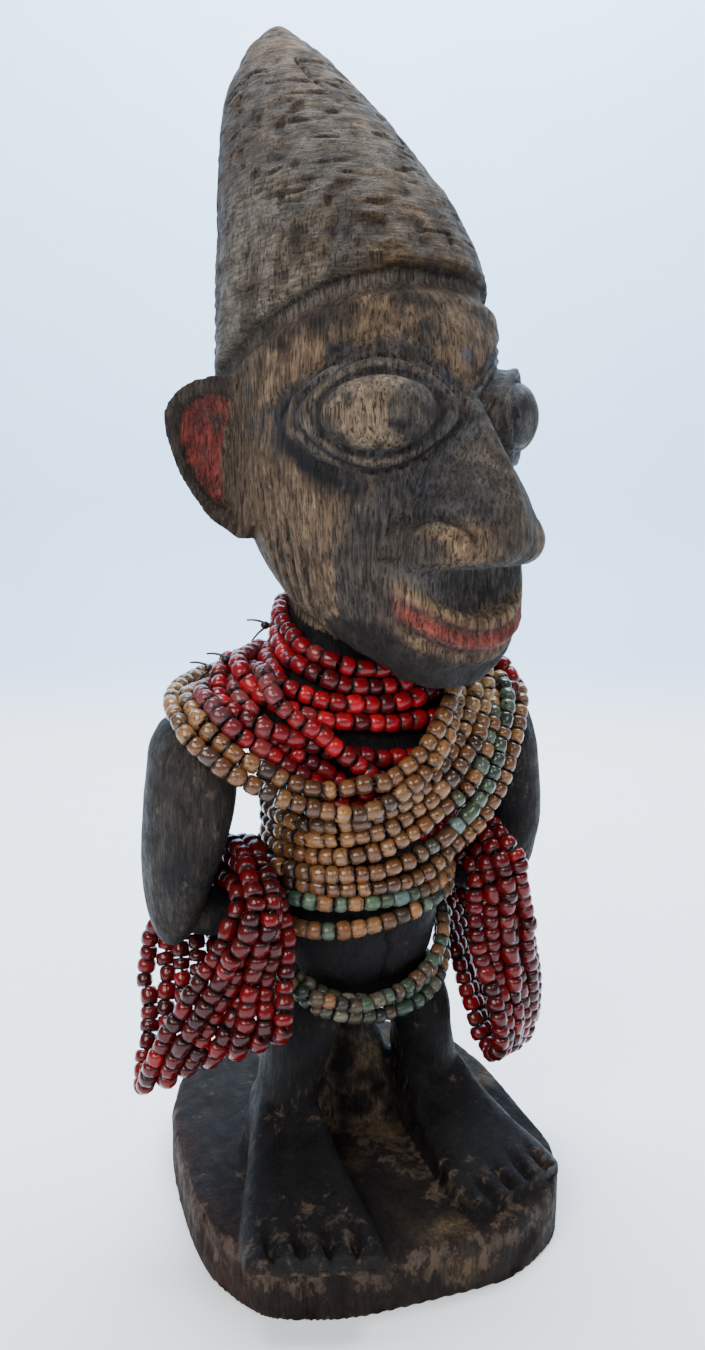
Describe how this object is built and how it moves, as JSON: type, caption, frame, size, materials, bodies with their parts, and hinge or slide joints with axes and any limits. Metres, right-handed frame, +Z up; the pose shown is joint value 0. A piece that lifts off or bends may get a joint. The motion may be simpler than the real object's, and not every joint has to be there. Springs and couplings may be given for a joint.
{
  "type": "carved twin figure",
  "caption": "Carved wooden ibeji twin figure with a tall pointed cap, standing on an oval base and wearing strings of small glass beads at neck, chest, waist and wrists.",
  "frame": {"origin": "centre of the underside of the base", "axes": "+Z up, the face looks along -Y, the figure's right hand is on the -X side"},
  "size_m": [0.1124, 0.1085, 0.2853],
  "materials": {
    "carved_wood": "worn dark patina with ochre and blue-black pigment",
    "red_beads": "glossy crimson glass, grime between the beads",
    "tan_beads": "tan glass with brown specks",
    "mixed_beads": "olive green and tan glass",
    "dark_beads": "dark green and brown glass"
  },
  "bodies": {
    "root": {"figure": "carved_wood", "neck_string_1": "red_beads", "neck_string_2": "red_beads", "neck_string_3": "red_beads", "neck_string_4": "red_beads", "neck_string_5": "red_beads", "shoulder_string_1": "red_beads", "shoulder_string_2": "red_beads", "shoulder_string_3": "red_beads", "collar_string_1": "tan_beads", "collar_string_2": "tan_beads", "sash_string_1": "tan_beads", "sash_string_2": "tan_beads", "sash_string_3": "tan_beads", "sash_string_4": "tan_beads", "sash_string_5": "tan_beads", "waist_string_1": "mixed_beads", "waist_string_2": "mixed_beads", "hip_string_1": "dark_beads", "hip_string_2": "dark_beads", "hip_string_3": "dark_beads", "right_wrist_string_1": "red_beads", "right_wrist_string_2": "red_beads", "right_wrist_string_3": "red_beads", "right_wrist_string_4": "red_beads", "right_wrist_string_5": "red_beads", "right_wrist_string_6": "red_beads", "right_wrist_string_7": "red_beads", "left_wrist_string_1": "red_beads", "left_wrist_string_2": "red_beads", "left_wrist_string_3": "red_beads", "left_wrist_string_4": "red_beads", "left_wrist_string_5": "red_beads", "left_wrist_string_6": "red_beads", "left_wrist_string_7": "red_beads"}
  },
  "joints": []
}
